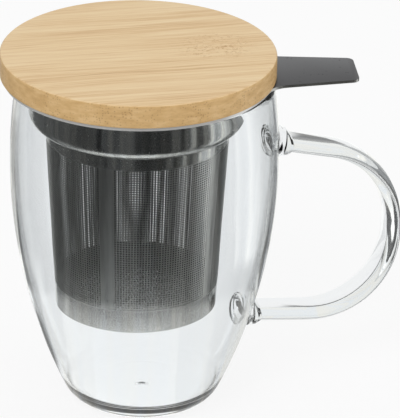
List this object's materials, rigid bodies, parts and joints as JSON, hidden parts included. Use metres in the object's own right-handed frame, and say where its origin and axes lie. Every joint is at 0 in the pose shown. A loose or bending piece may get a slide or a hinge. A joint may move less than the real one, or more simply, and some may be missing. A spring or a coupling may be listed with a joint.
{
  "type": "lidded tea mug with infuser",
  "caption": "Clear glass tea mug with an open strap handle, a lift-out perforated steel infuser with a thumb tab, and a flat bamboo lid with a sealing ring.",
  "frame": {"origin": "middle of the mug's foot, in the plane of the table it stands on", "axes": "+Z up along the mug's axis, +X from the axis through the middle of the handle, +Y to the left of the handle seen from above with +X up"},
  "size_m": [0.1388, 0.092, 0.126],
  "materials": {
    "glass": "clear, fire-polished",
    "steel": "satin stainless sheet",
    "bamboo": "sanded and lightly oiled",
    "silicone": "matt, slightly translucent"
  },
  "bodies": {
    "mug": {"mug_body": "glass", "mug_handle": "glass"},
    "infuser": {"rim_plate": "steel", "infuser_collar": "steel", "basket_wall": "steel", "basket_floor": "steel"},
    "lid": {"bamboo_lid": "bamboo", "lid_seal": "silicone"}
  },
  "joints": [
    {"name": "infuser_lift", "type": "slide", "parent": "mug", "child": "infuser", "axis": [0, 0, 1], "range_m": [0, 0.09]},
    {"name": "lid_lift", "type": "slide", "parent": "infuser", "child": "lid", "axis": [0, 0, 1], "range_m": [0, 0.04]}
  ]
}
